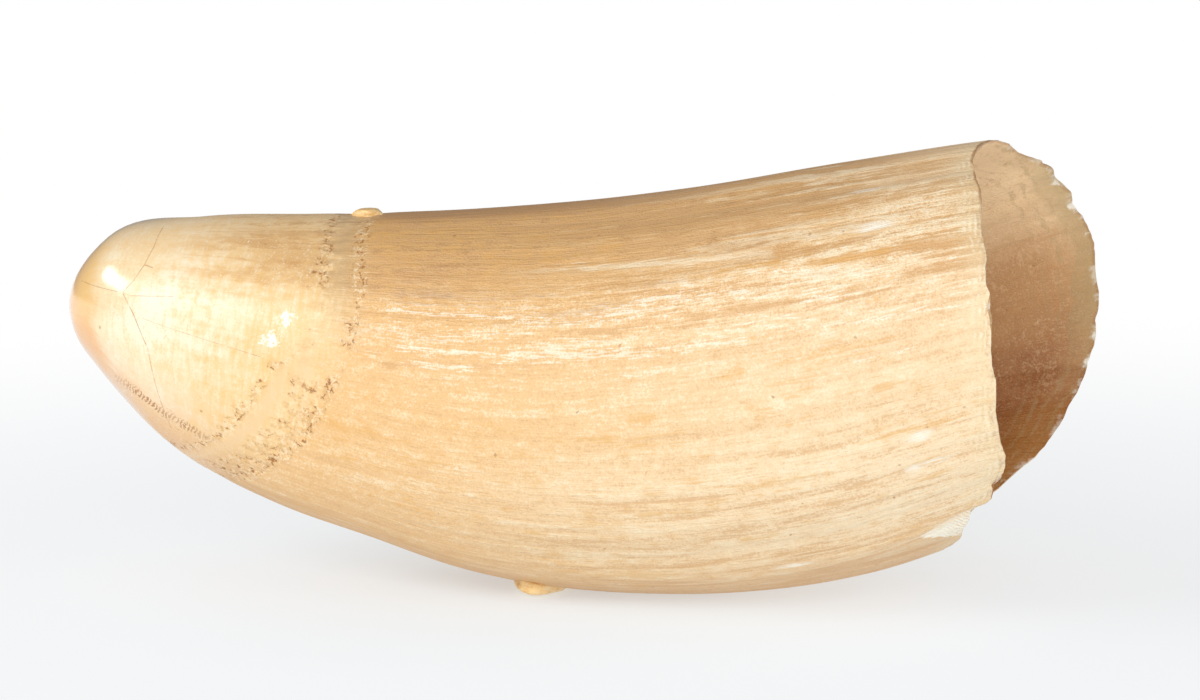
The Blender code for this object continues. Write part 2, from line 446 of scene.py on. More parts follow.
class Value:
    """One number socket of a material, read with Python's own operators. A plain number it
    is multiplied by waits in factor until the next node can take it in."""

    def __init__(self, paint, socket, factor=1.0):
        self.paint = paint
        self.socket = socket
        self.factor = factor

    def __add__(self, other):
        return self.paint.total(self, other)

    def __radd__(self, other):
        return self.paint.total(self, other)

    def __sub__(self, other):
        return self.paint.total(self, -other)

    def __rsub__(self, other):
        return self.paint.total(-self, other)

    def __mul__(self, other):
        if not isinstance(other, Value):
            return Value(self.paint, self.socket, self.factor * other)
        product = self.paint.math("MULTIPLY", self.socket, other.socket)
        return product * (self.factor * other.factor)

    def __rmul__(self, other):
        return self * other

    def __truediv__(self, other):
        if not isinstance(other, Value):
            return self * (1.0 / other)
        return self.paint.math("DIVIDE", self, other)

    def __rtruediv__(self, other):
        return self.paint.math("DIVIDE", other, self)

    def __neg__(self):
        return self * -1.0

    def __abs__(self):
        return self.paint.math("ABSOLUTE", self.socket) * abs(self.factor)

    def step(self, low, high):
        """0 at low, 1 at high, smooth between; low may lie above high."""
        inputs = {0: self, 1: low, 2: high, 3: 0.0, 4: 1.0}
        settings = {"interpolation_type": "SMOOTHSTEP", "clamp": True}
        return Value(self.paint, self.paint.node("ShaderNodeMapRange", settings, inputs))

    def bell(self, middle, width):
        """exp(-((self - middle) / width)^2)."""
        off = (self - middle) / width
        return self.paint.math("EXPONENT", -(off * off))


class Paint:
    """A material under construction: one Principled shader and the nodes that feed it. Colours
    are taken as three or four numbers."""

    def __init__(self, name):
        self.material = bpy.data.materials.new(name)
        self.material.use_nodes = True
        self.tree = self.material.node_tree
        self.shader = self.tree.nodes["Principled BSDF"]

    def feed(self, socket, value):
        if isinstance(value, Value):
            value = self.settled(value).socket
        if isinstance(value, Layers):
            value = value.colour
        if isinstance(value, bpy.types.NodeSocket):
            self.tree.links.new(value, socket)
        elif socket.type == "RGBA":
            socket.default_value = (*value[:3], 1.0)
        else:
            socket.default_value = value

    def node(self, kind, settings=None, inputs=None, output=0):
        """Adds a node: its settings first, then the values or links of its sockets."""
        made = self.tree.nodes.new(kind)
        for key, value in (settings or {}).items():
            setattr(made, key, value)
        for key, value in (inputs or {}).items():
            self.feed(made.inputs[key], value)
        return made.outputs[output]

    def math(self, operation, *values):
        inputs = dict(enumerate(values))
        return Value(self, self.node("ShaderNodeMath", {"operation": operation}, inputs))

    def settled(self, value):
        """The same value with its waiting factor multiplied in."""
        if value.factor == 1.0:
            return value
        return self.math("MULTIPLY", value.socket, value.factor)

    def total(self, a, b):
        """a + b, where one waiting factor is taken in by the same node."""
        if a.factor == 1.0 and isinstance(b, Value):
            a, b = b, a
        if a.factor == 1.0:
            return self.math("ADD", a, b)
        return self.math("MULTIPLY_ADD", a.socket, a.factor, b)

    def larger(self, a, b):
        return self.math("MAXIMUM", a, b)

    def smaller(self, a, b):
        return self.math("MINIMUM", a, b)

    def smallest(self, values):
        return reduce(self.smaller, values)

    def vector_math(self, operation, *values, output=0):
        inputs = dict(enumerate(values))
        return self.node("ShaderNodeVectorMath", {"operation": operation}, inputs, output)

    def scaled(self, vector, factors, shift=(0.0, 0.0, 0.0)):
        return self.vector_math("MULTIPLY_ADD", vector, factors, shift)

    def attribute(self, name):
        return self.node("ShaderNodeAttribute", {"attribute_name": name}, output=1)

    def split(self, vector):
        made = self.node("ShaderNodeSeparateXYZ", None, {0: vector}).node
        return [Value(self, socket) for socket in made.outputs]

    def noise(self, vector, scale, detail=3.0, roughness=0.55, distortion=0.0):
        """Noise about zero, mostly between -1 and 1."""
        inputs = {
            "Vector": vector,
            "Scale": scale,
            "Detail": detail,
            "Roughness": roughness,
            "Distortion": distortion,
        }
        raw = Value(self, self.node("ShaderNodeTexNoise", {"normalize": True}, inputs))
        return self.math("MULTIPLY_ADD", raw, 5.0, -2.5)

    def cells(self, vector, scale):
        inputs = {"Vector": vector, "Scale": scale}
        return Value(self, self.node("ShaderNodeTexVoronoi", {"feature": "F1"}, inputs))

    def blend(self, factor, a, b):
        settings = {"data_type": "RGBA", "blend_type": "MIX", "clamp_factor": True}
        return self.node("ShaderNodeMix", settings, {0: factor, 6: a, 7: b}, output=2)

    def object_mm(self):
        """The object's own coordinates in mm."""
        return self.scaled(self.node("ShaderNodeTexCoord", output=3), (1.0 / MM,) * 3)

    def bump(self, height, strength):
        inputs = {"Strength": strength, "Distance": BUMP_DEPTH, "Height": height}
        return self.node("ShaderNodeBump", None, inputs)

    def finish(self, inputs):
        """Feeds the shader and gives the material."""
        for key, value in inputs.items():
            self.feed(self.shader.inputs[key], value)
        return self.material

    def line_distance(self, point, start, end):
        """Distance from point to the straight piece between start and end."""
        start, end = Vector(start), Vector(end)
        along = end - start
        off = self.vector_math("SUBTRACT", point, tuple(start))
        share = self.vector_math("DOT_PRODUCT", off, tuple(along), output=1)
        settings = {"operation": "MULTIPLY", "use_clamp": True}
        share = self.node("ShaderNodeMath", settings, {0: share, 1: 1.0 / along.length_squared})
        inputs = {0: tuple(along), "Scale": share}
        foot = self.node("ShaderNodeVectorMath", {"operation": "SCALE"}, inputs)
        gap = self.vector_math("DISTANCE", off, foot, output=1)
        return Value(self, gap)


class Layers:
    """A colour with others laid over it in turn, each as far as its mask says."""

    def __init__(self, paint, colour):
        self.paint = paint
        self.colour = colour

    def lay(self, mask, colour):
        self.colour = self.paint.blend(mask, self.colour, colour)


def arc(degrees):
    """Millimetres round the paint's cylinder for an angle."""
    return math.radians(degrees) * ARC


# ---- the tooth's paint ------------------------------------------------------------------

# Cracks on the crown's near side: x and z in mm of each corner, and half width in mm.
CRACKS = (
    (((-70.1, 50.0), (-68.2, 52.0), (-66.7, 54.5), (-65.9, 57.2), (-66.1, 59.8)), 0.03),
    (((-80.0, 50.9), (-70.1, 50.0)), 0.01),
    (((-70.1, 50.0), (-68.4, 49.6), (-60.2, 49.9)), 0.01),
    (((-70.1, 50.0), (-67.6, 46.6), (-64.7, 41.1), (-63.8, 36.2)), 0.04),
    (((-63.8, 36.2), (-62.0, 27.5)), 0.01),
    (((-65.8, 46.1), (-43.4, 41.0)), -0.02),
    (((-66.7, 54.5), (-65.0, 54.1)), 0.02),
)
# Slanted brown marks low on the crown: x and z in mm of the row's corners.
MARKS = ((-72.4, 35.2), (-69.4, 34.2), (-63.5, 30.6), (-54.3, 26.5))
# Bright worn streaks, painted partly as highlights: distance in mm and angle in degrees of each
# corner, half width in mm.
WORN_RIDGE_HIGHLIGHTS = (
    (((74.4, -58.6), (91.1, -58.8), (112.7, -63.1)), 1.0),
    (((75.2, -70.7), (106.1, -70.8)), 1.5),
    (((77.6, -75.6), (95.8, -74.6)), 0.9),
    (((99.0, -71.4), (126.8, -71.1), (136.8, -72.5)), 1.5),
    (((112.0, -61.0), (122.9, -56.4), (140.0, -58.8)), 1.9),
    (((109.7, -77.2), (119.9, -78.1)), 0.6),
    (((145.1, -71.2), (155.9, -73.1), (176.5, -75.6)), 0.7),
    (((146.9, -63.9), (155.0, -65.6)), 0.9),
    (((155.4, -83.6), (165.2, -83.7)), 0.6),
    (((138.2, -52.9), (152.7, -56.4)), 0.5),
)
# A pale streak along the upper side, in the same terms.
PALE_STREAK = ((91.3, -43.2), (108.0, -43.1), (141.0, -47.5))
# Painted patches: distance in mm, angle in degrees, half length and half width in mm.
SCUFFS = (
    (158.3, -45.2, 4.0, 1.1),
    (163.9, -107.0, 2.2, 0.9),
    (165.9, -116.1, 2.6, 0.7),
    (162.3, -116.8, 1.6, 1.0),
    (156.8, -27.9, 3.6, 0.7),
    (139.5, -144.0, 3.0, 0.6),
)
OCHRES = (
    (153.3, -53.7, 10.0, 0.9),
    (140.0, -51.6, 9.0, 0.8),
    (163.5, -104.5, 7.0, 0.8),
    (150.0, -79.5, 9.0, 0.7),
    (135.5, -80.0, 2.2, 1.3),
    (140.3, -91.0, 2.0, 0.9),
    (120.4, -89.0, 2.4, 0.9),
    (141.0, -110.0, 9.0, 0.8),
)
BROWNS = (
    (49.0, -25.0, 12.0, 3.0),
    (75.0, -77.0, 2.2, 0.8),
    (83.0, -46.5, 11.0, 2.0),
    (117.7, -51.7, 5.0, 1.5),
    (91.5, -22.5, 3.5, 0.8),
    (121.0, -28.0, 18.0, 1.2),
    (144.7, -34.4, 11.0, 1.3),
    (143.4, -48.9, 11.0, 1.5),
    (155.8, -49.0, 8.0, 1.0),
    (153.9, -18.0, 20.0, 2.2),
)
# White chips on the far rim, by their angle in degrees.
CHIPS = (48.3, 59.5, 102.0, 109.5)


def tooth_fields(paint):
    """Places and noises on the tooth, made once and shared by its layers of paint.

    grain is distance from the tip and two sides of a cylinder, in cm, so noise stretched
    along its first axis makes lengthwise streaks with no seam. The angle is 0 on the back
    and negative on the near side; girth is the angle in mm of arc. Noises are about zero."""
    f = SimpleNamespace()
    grain = paint.attribute("grain")

    def grained(stretch, *settings):
        return paint.noise(paint.scaled(grain, (stretch, 1.0, 1.0)), *settings)

    f.spot = paint.object_mm()
    f.edge, f.within, f.fresh = paint.split(paint.attribute("place"))
    f.ridge, f.finer, _ = paint.split(paint.attribute("wear"))
    along, up, side = paint.split(grain)
    f.x, y, f.z = paint.split(f.spot)
    f.girth = paint.settled(paint.math("ARCTAN2", side, up) * ARC)
    f.along = paint.settled(along * 10.0)
    f.cosine = paint.settled(up / GRAIN_RADIUS)
    f.near = y.step(-2.0, -6.0)
    f.flat = paint.node("ShaderNodeCombineXYZ", None, {0: f.x, 1: f.z, 2: 0.0})
    f.sheet = paint.node("ShaderNodeCombineXYZ", None, {0: f.along, 1: f.girth, 2: 0.0})
    f.bands = grained(0.07, 3.0, 3.0, 0.6)
    f.streaks = grained(0.06, 8.5, 2.0, 0.65, 0.3)
    f.fine = grained(0.12, 30.0, 1.0, 0.6)
    f.mottle = grained(0.6, 4.5, 4.0, 0.65)
    f.clouds = paint.noise(f.spot, 0.060, 3.0, 0.62)
    f.flecks = paint.noise(f.spot, 0.85, 2.0, 0.6)
    f.grit = paint.noise(f.spot, 2.6, 1.0, 0.75)
    f.across = paint.noise(paint.scaled(grain, (1.9, 0.35, 0.35)), 5.0, 3.0, 0.65, 0.5)
    f.off = f.along - BAND[0] - f.cosine * BAND[1] - f.cosine * f.cosine * BAND[2]
    f.under = f.cosine.step(0.35, 0.0)
    f.specks = paint.cells(f.spot, 0.20)
    return f


def near_line(paint, point, corners, flat=True):
    """Distance in mm from a line through corners."""
    gaps = []
    for start, end in zip(corners[:-1], corners[1:]):
        if not flat:
            start, end = (start[0], arc(start[1])), (end[0], arc(end[1]))
        gaps.append(paint.line_distance(point, (*start, 0.0), (*end, 0.0)))
    return paint.smallest(gaps)


def crack_mask(paint, f):
    """Thin lines along the cracks, a little wobbly and of uneven strength."""
    nearest = paint.smallest(near_line(paint, f.flat, line) - half for line, half in CRACKS)
    wobble = f.flecks * 0.05 + f.mottle * 0.04
    return abs(nearest + wobble).step(0.11, 0.0) * f.near * (0.6 + f.flecks * 0.5)


def patches(paint, f, places):
    """Ellipses on the sheet, broken into soft streaks all over."""
    shares = []
    for distance, degrees, half_length, half_width in places:
        size = (1.0 / half_length, 1.0 / half_width, 0.0)
        middle = (distance, arc(degrees), 0.0)
        shift = tuple(-a * b for a, b in zip(size, middle))
        off = paint.scaled(f.sheet, size, shift)
        about = paint.vector_math("DOT_PRODUCT", off, off, output=1)
        shares.append(Value(paint, about))
    rough = f.streaks * 1.1 + f.fine * 0.5 + f.mottle * 0.6 + f.grit * 0.3
    return (paint.smallest(shares) + rough).step(1.6, -0.9)


def worn_ridge_highlight_mask(paint, f):
    """Bright broken lines with gaps where the lengthwise ridges are worn, partly painted
    highlights on them.
    """
    gaps = (near_line(paint, f.sheet, line, flat=False) / half for line, half in WORN_RIDGE_HIGHLIGHTS)
    nearest = paint.smallest(gaps)
    grain = f.fine * 0.9 + f.grit * 0.45 + f.streaks * 0.6 + f.mottle * 0.3
    drawn = (grain - nearest * 0.95).step(-0.55, 0.55)
    # Painted highlight: loose bright flecks in the strip along the near side that catches the
    # lamps.
    zone = f.girth.bell(-38.5, 8.0) * f.along.step(66.0, 78.0)
    loose = (grain + f.bands * 0.6).step(0.05, 1.25) * zone
    return paint.larger(drawn, loose * 0.75)


def crown_colour(paint, f, c):
    """Polished cream with clouds and a fine cross grain, golden by the band, pinkish tan
    below, streaky brown above, painted sparkles of highlight near the band, and an apricot
    crescent at the tip."""
    cloud = f.clouds + f.mottle * 0.3 + f.across * 0.3
    colour = Layers(paint, c.crown)
    colour.lay(cloud.step(-0.55, 0.75) * 0.9, c.crown_warm)
    weave = f.across * 0.5 + f.clouds * 0.3 + f.fine * 0.2 + f.grit * 0.5
    colour.lay(weave.step(-0.1, 0.8) * 0.5, c.crown_pink)
    below = (f.cosine + f.mottle * 0.12 - f.along * 0.004).step(0.0, -0.6)
    colour.lay(below * 0.75, c.crown_pink)
    soft = f.clouds * 0.6 + f.mottle * 0.4 + f.bands * 0.4
    low_side = f.cosine.step(0.05, -0.45)
    golden = (f.off + soft * 9.0 + f.across * 2.0 - low_side * 9.0).step(-37.0, -12.0)
    tone = 0.87 + f.across * 0.20 + f.mottle * 0.15
    colour.lay(golden * tone, c.crown_gold)
    above = (f.cosine + f.bands * 0.12 + f.mottle * 0.06).step(0.40, 0.95)
    colour.lay(above * 0.65, c.crown_tan)
    lines = f.streaks * 0.25 + f.bands * 0.7 + f.mottle * 0.5 + f.flecks * 0.2
    stain = lines.step(-0.25, 0.55) * f.along.step(27.0, 50.0)
    stain = stain * (f.cosine + f.clouds * 0.10 + f.mottle * 0.08).step(0.40, 0.85)
    patch = (f.along + f.across * 1.5).bell(54.0, 8.0)
    patch = patch * (f.girth + f.mottle * 2.0 + f.clouds * 2.0).bell(-23.5, 5.0)
    stain = paint.larger(stain, patch * (0.95 + f.mottle * 0.3 + f.bands * 0.3))
    colour.lay(stain * 0.85, c.root_umber)
    edge = (f.cosine + f.mottle * 0.08 + f.along * 0.005).step(-0.12, -0.65)
    colour.lay(edge * 0.9, c.crown_low)
    tone = f.grit * 0.7 + f.flecks * 0.5 + f.across * 0.4
    colour.lay(tone.step(0.1, 1.1) * 0.5, c.crown_tan)
    colour.lay(tone.step(-0.2, -1.1) * 0.4, c.crown)
    # Painted highlight: a small cluster of white sparkles on the crown beside the band.
    painted_glint = paint.larger(
        f.along.bell(55.4, 1.5) * f.girth.bell(-37.8, 2.2),
        f.along.bell(53.2, 2.0) * f.girth.bell(-43.3, 2.0),
    )
    painted_glint = (painted_glint + f.flecks * 0.35 + f.grit * 0.25 + f.mottle * 0.2).step(0.45, 0.90)
    colour.lay(painted_glint * f.off.step(-2.0, -4.0), c.gleam)
    crescent = f.along + abs(f.cosine) * 3.0 + f.mottle * 1.2 + f.grit * 0.5 + f.clouds * 1.0
    crescent = crescent - 5.0 * f.cosine.step(-0.1, -0.7)
    crescent = crescent - 1.2 * f.cosine.step(0.3, 0.8)
    tip = crescent.step(20.0, 14.0)
    low = (f.cosine + f.mottle * 0.1).step(0.30, -0.45)
    worn = paint.larger(crescent.step(15.0, 2.0), low * 0.85)
    colour.lay(tip * 0.95, paint.blend(worn, c.tip, c.tip_dark))
    return colour


def root_colour(paint, f, c):
    """Cream and tan in lengthwise streaks, paler towards the rim, browner along the back; deepest
    brown along its very top, partly stain and partly painted shade, and paler on top near the
    rim as painted light.
    """
    pale = f.along.step(80.0, 165.0)
    colour = Layers(paint, c.root_gold)
    colour.lay(pale, c.root_cream)
    light = f.cosine.step(0.1, -0.4) * f.along.step(55.0, 120.0)
    colour.lay(light * 0.35, c.root_pale)
    upper = f.cosine.step(0.15, 0.60)
    lower = f.cosine.step(0.0, -0.5) * f.along.step(80.0, 120.0)
    lengthwise = f.bands * 0.45 + f.streaks * 0.60 + f.fine * 0.26 + f.finer * 0.12
    loose = f.mottle * 0.26 + f.grit * 0.45 + f.flecks * 0.22 + f.ridge * 0.12
    uneven = 0.75 + lower * 0.65 + upper * (0.55 + 0.55 * pale)
    tone = lengthwise * uneven + loose * (1.0 + upper * 0.35)
    strong = 0.72 + 0.28 * upper
    colour.lay(tone.step(-0.1, 1.0) * strong, c.root_pale)
    colour.lay(tone.step(0.0, -1.1) * strong, c.root_tan)
    ochre = f.fine * 0.3 + f.streaks * 0.65 - f.mottle * 0.35 + f.clouds * 0.3
    colour.lay(ochre.step(0.1, 0.9) * 0.6, c.root_ochre)
    reach = 0.61 + 0.15 * pale + 0.24 * f.along.step(140.0, 174.0)
    brown = f.cosine - reach + f.bands * 0.22 + f.streaks * 0.13
    stain = brown.step(-0.16, 0.16)
    gaps = (f.bands * 0.9 + f.streaks * 0.9 + f.mottle * 0.3).step(0.0, 0.7)
    stain = stain * (1.0 - gaps * (0.25 + 0.60 * pale))
    colour.lay(stain * (0.88 + tone * 0.35), c.root_umber)
    line = f.bands + f.streaks * 0.5 + f.mottle * 0.2
    worn = line.step(0.0, -0.7) * upper * pale
    colour.lay(worn * 0.75, c.root_umber)
    bare = line.step(0.2, 0.9) * upper * pale
    colour.lay(bare * 0.12, c.root_pale)
    gold = upper * (1.0 - pale) * (1.0 - stain)
    colour.lay(gold * 0.30, c.root_ochre)
    # Deepest brown along the very top of the back, partly stain and partly painted shade; later
    # also in streaks within the stain.
    deep = (f.cosine + f.streaks * 0.02).step(0.955, 0.995) * (0.75 - 0.70 * pale)
    warm = (f.mottle * 0.6 + f.clouds * 0.6 + f.bands * 0.4).step(-0.1, 0.8)
    colour.lay(warm * stain * (0.60 - 0.3 * pale), c.root_ochre)
    grown = f.streaks * 0.5 + f.bands * 0.5 - f.mottle * 0.6 - f.clouds * 0.4 + f.grit * 0.3
    deep = paint.larger(deep, grown.step(0.1, 1.1) * stain * 0.70)
    colour.lay(deep, c.root_brown)
    # Painted light: the top of the back near the rim made paler against the shade that falls
    # there.
    bare = f.along.step(148.0, 168.0) * f.cosine.step(0.80, 0.97)
    colour.lay(bare * (0.65 + f.streaks * 0.2), c.root_cream)
    below = (f.cosine + f.streaks * 0.08).step(-0.70, -0.97)
    colour.lay(below * 0.68, c.root_umber)
    crumbs = (f.flecks * 0.8 + f.streaks * 0.5 + f.grit * 0.4).step(0.4, 1.2) * below
    colour.lay(crumbs * 0.6, c.root_brown)
    return colour


def band_layers(paint, f, c, colour):
    """The grey-tan strip between crown and root near the back, the smooth pale strip lower
    down, and dirty pits in rings. Gives the pits."""
    strip = (f.off + f.mottle * 1.6).bell(-0.8, 3.2) * f.cosine.step(0.25, 0.75)
    strip = strip * (0.62 + f.mottle * 0.40 + f.across * 0.25)
    colour.lay(strip, c.band_grey)
    smooth = (f.off + f.mottle * 0.6).bell(-7.6, 1.6) * f.under
    upper = (f.off + f.mottle * 0.5).bell(-4.6, 2.2) * f.cosine.bell(0.15, 0.22)
    smooth = paint.larger(smooth, upper)
    colour.lay(smooth * 0.78, c.band_pale)
    first = (f.off + f.under * 7.0 + f.mottle * 1.2).bell(-3.6, 1.5)
    first = first * (1.0 - 0.60 * f.cosine.bell(0.48, 0.22))
    second = (f.off + f.under * 1.6 + f.mottle * 1.2).bell(3.1, 1.7)
    zone = (f.off + f.mottle).step(-6.8, -4.6) * f.off.step(3.0, 0.5) * f.under
    rings = paint.larger(paint.larger(first, second), zone * 0.62)
    rings = rings * (1.0 - 0.35 * f.cosine.bell(0.28, 0.25))
    brown = rings * (f.mottle * 1.2 + f.flecks * 0.7).step(-0.3, 0.7)
    colour.lay(brown * 0.75, c.band_brown)
    wriggle = paint.noise(f.spot, 0.9, 2.0, 0.6, 0.8)
    crumbs = (f.grit * 0.6 - wriggle).step(0.15, 0.8) * rings.step(0.25, 0.8)
    colour.lay(crumbs * 0.50, c.root_pale)
    spread = rings + f.mottle * 0.5 + f.bands * 0.3
    pits = (wriggle + f.grit * 0.35).step(0.30, 0.72) * spread.step(0.40, 0.95)
    colour.lay(pits * 0.92, c.pit)
    return pits


def small_marks(paint, f, c, colour):
    """Cracks, the row of slanted marks, specks, scuffs and stains."""
    pale = near_line(paint, f.sheet, PALE_STREAK, flat=False)
    pale = pale + f.streaks * 0.9 + f.fine * 0.5 + f.mottle * 0.4
    pale = pale.step(1.3, -0.3) * f.along.step(88.0, 112.0)
    colour.lay(pale * 0.7, c.root_pale)
    colour.lay(patches(paint, f, BROWNS) * 0.6, c.root_umber)
    colour.lay(patches(paint, f, OCHRES) * 0.55, c.root_ochre)
    colour.lay(patches(paint, f, SCUFFS) * 0.9, c.chalk)
    colour.lay(crack_mask(paint, f) * 0.85, c.pit)
    from_row = near_line(paint, f.flat, MARKS) + f.flecks * 0.35 + f.mottle * 0.25
    slant = paint.math("SINE", f.x * 6.8 - f.z * 5.1 + f.flecks * 2.2 + f.mottle * 2.4)
    row = (slant + f.grit * 0.7).step(-0.35, 0.45) * from_row.step(1.0, 0.4)
    strength = 0.75 * f.x.bell(-66.0, 3.8) + 0.50 * f.x.bell(-58.5, 2.2)
    strength = strength + 0.38 + f.clouds * 0.2 + f.mottle * 0.2
    colour.lay(row * f.near * strength, c.pit_warm)
    specks = (f.specks + f.grit * 0.02).step(0.075, 0.03)
    specks = specks * (f.clouds + f.mottle).step(0.1, 0.5)
    colour.lay(specks * 0.55, c.pit)


def rim_layers(paint, f, c, colour):
    """The outside by the rim: a ragged pale edge on the side, painted shade as a tan line beside
    it and a shadow line along the edge near the back, and faint broken lines of growth that
    follow the rim."""
    edge = f.edge + f.mottle * 0.4
    side = f.cosine.step(0.80, 0.62)
    near_rim = (edge + f.streaks * 0.8).step(6.0, 0.5)
    colour.lay(near_rim * 0.38, c.rim_pale)
    growth = paint.math("SINE", edge * 6.5 + f.clouds * 2.5 + f.flecks * 0.6)
    broken = (f.mottle + f.flecks * 0.6).step(-0.2, 0.6) * f.edge.step(4.5, 0.8)
    lines = growth.step(0.2, 1.1) * broken
    colour.lay(lines * 0.55, c.rim_dirt)
    white = growth.step(-0.1, -1.0) * broken
    colour.lay(white * 0.35, c.chalk)
    # Painted shade: a tan line beside the pale edge on the side, and a deep brown shadow line
    # along the edge near the back.
    shade = (edge + f.flecks * 0.3).bell(0.70, 0.22) * side
    edge_shadow = (f.edge + f.flecks * 0.2).step(0.45, 0.1) * (1.0 - side)
    shade = shade * (f.mottle + f.bands * 0.5).step(-0.4, 0.4)
    colour.lay(paint.larger(shade * 0.50, edge_shadow * 0.9), c.root_brown)
    flake = (f.edge + f.mottle * 0.30 + f.flecks * 0.30).step(0.34, 0.0) * side
    flake = flake * (f.cosine + f.mottle * 0.3).step(-0.9, 0.0)
    colour.lay(flake * 0.55, c.root_pale)


def facet_colour(paint, f, c):
    """The fresh break by the lower corner: cream and white with fine steep lines, tan below."""
    hatch = paint.math("SINE", f.along * 9.0 + f.girth * 4.0 + f.flecks * 1.4)
    hatch = (hatch + f.grit * 0.6).step(0.0, 1.2) * f.edge.step(6.0, 0.5)
    facet = (f.streaks * 0.7 + f.fine * 0.7 + f.grit * 0.4).step(-1.2, 0.4)
    facet = Layers(paint, paint.blend(facet, c.root_pale, c.gleam))
    facet.lay(hatch * 0.6, c.root_tan)
    lower = (f.girth + f.streaks * 0.8 + f.mottle * 0.6).step(-89.0, -91.5)
    facet.lay(lower * 0.8, c.root_tan)
    return facet


def cavity_colour(paint, f, c):
    """Pinkish tan above, brown below, partly as painted light through the thin upper wall; warm
    tan in the thin wall by the rim and an orange-brown low down by it, both painted light shining
    through; painted shade towards the cavity's end.
    """
    high = f.cosine + f.clouds * 0.16 + f.bands * 0.08 + f.mottle * 0.05
    wall = Layers(paint, c.cavity_brown)
    # Lighter upwards: partly browner stain below, partly painted light through the thin upper
    # wall.
    wall.lay(high.step(-0.75, 0.10), c.cavity_mid)
    wall.lay(high.step(0.05, 0.80), c.cavity_tan)
    tone = f.mottle * 0.4 + f.flecks * 0.55 + f.grit * 0.75 + f.across * 0.3 + f.clouds * 0.5
    wall.lay(tone.step(0.0, 1.6) * 0.55, c.cavity_spot)
    wall.lay(tone.step(0.0, -1.8) * 0.35, c.cavity_tan)
    # Painted light shining through the thin lower wall by the rim.
    amber = (f.cosine + f.mottle * 0.1).step(-0.25, -0.7) * f.edge.step(16.0, 3.0)
    wall.lay(amber * 0.8, c.cavity_amber)
    growth = paint.math("SINE", f.edge * 2.6 + f.clouds * 4.0 + f.mottle * 0.8)
    growth = (growth + f.mottle * 0.7 + f.across * 0.6).step(0.2, 1.4) * f.edge.step(14.0, 5.0)
    wall.lay(growth * 0.35, c.cavity_edge)
    # Painted light on the thin wall by the rim.
    lit = (f.edge + f.clouds * 1.6 + f.mottle * 1.0).step(5.5, 0.8)
    lit = lit * f.cosine.step(-0.7, 0.1) * f.cosine.step(1.0, 0.7)
    wall.lay(lit * 0.65, c.cavity_edge)
    line = (f.edge + f.flecks * 0.2).step(0.5, 0.1)
    wall.lay(line * 0.3, c.cavity_brown)
    bare = (f.edge + f.flecks * 0.5).step(1.1, 0.1) * (f.mottle + f.bands).step(0.0, 0.6)
    wall.lay(bare * 0.45, c.chalk)
    gap = paint.smallest(abs(f.girth - arc(degrees)) for degrees in CHIPS)
    chips = (gap * 0.9 + f.edge * 1.3 + f.flecks * 0.7).step(1.4, 0.3)
    wall.lay(chips * 0.75, c.chalk)
    wall.lay(f.specks.step(0.06, 0.03) * 0.5, c.pit)
    # Painted shade, deepening towards the cavity's end.
    wall.lay(f.edge.step(14.0, 60.0), c.cavity_deep)
    return wall


def tooth_paint(colours):
    """The whole tooth's material: crown, root, band, marks, rim and cavity in layers."""
    paint = Paint("tooth surface")
    f = tooth_fields(paint)
    border = f.off + f.mottle * 1.6 + f.streaks * 1.8 + f.bands * 1.2
    root = border.step(-5.0, 4.0)
    colour = crown_colour(paint, f, colours)
    colour.lay(root, root_colour(paint, f, colours))
    pits = band_layers(paint, f, colours, colour)
    small_marks(paint, f, colours, colour)
    # Worn ridges with painted highlights: bright in colour and lower in roughness.
    worn_highlight_streaks = worn_ridge_highlight_mask(paint, f)
    colour.lay(worn_highlight_streaks * 0.47, colours.gleam)
    rim_layers(paint, f, colours, colour)
    ragged = f.girth + f.edge * 0.15 + f.streaks * 1.2 + f.flecks * 0.5 + f.mottle * 0.5
    fresh = f.fresh.step(0.1, 0.5) * ragged.step(-79.2, -83.4)
    colour.lay(fresh * 0.95, facet_colour(paint, f, colours))
    colour.lay(f.within, cavity_colour(paint, f, colours))

    polish = f.along.step(30.0, 21.0)
    shine = 0.34 - 0.20 * polish + 0.14 * root + 0.10 * f.within
    shine = shine + (f.fine + f.grit) * 0.06 * (1.0 - polish) + pits * 0.3 - worn_highlight_streaks * 0.15
    rough = f.along.step(55.0, 75.0)
    height = rough * (f.streaks * 0.26 + f.fine * 0.16) + f.grit * (0.03 + 0.12 * rough)
    inputs = {
        "Base Color": colour,
        "Roughness": paint.larger(paint.smaller(shine, 0.9), 0.1),
        "Normal": paint.bump(height, 0.8),
        "Coat Weight": polish * 0.9,
        "Coat Roughness": 0.17,
    }
    return paint.finish(inputs)


def lump_paint(colours):
    """Cream and ochre, mottled, on the object's own space, with more ochre higher up: painted
    shade on the back lump that the lamps light, against the shadow on the belly lump.
    """
    paint = Paint("cementum lump")
    spot = paint.object_mm()
    mottle = paint.noise(paint.scaled(spot, (0.4, 1.0, 1.0)), 0.8, 4.0, 0.6)
    grit = paint.noise(spot, 2.5, 3.0, 0.6)
    # Painted light and shade: the lit back lump is made darker and the belly lump in shadow stays
    # lighter.
    high = paint.split(spot)[2].step(20.0, 50.0)
    tone = mottle + grit * 0.4 + high * 0.35
    colour = Layers(paint, colours.lump)
    colour.lay(tone.step(0.0, 0.9) * 0.7, colours.root_ochre)
    colour.lay(tone.step(-0.1, -0.8) * 0.55, colours.root_pale)
    inputs = {
        "Base Color": colour,
        "Roughness": 0.45 + grit * 0.08,
        "Normal": paint.bump(tone * 0.3, 0.6),
    }
    return paint.finish(inputs)


# ---- settings ---------------------------------------------------------------------------

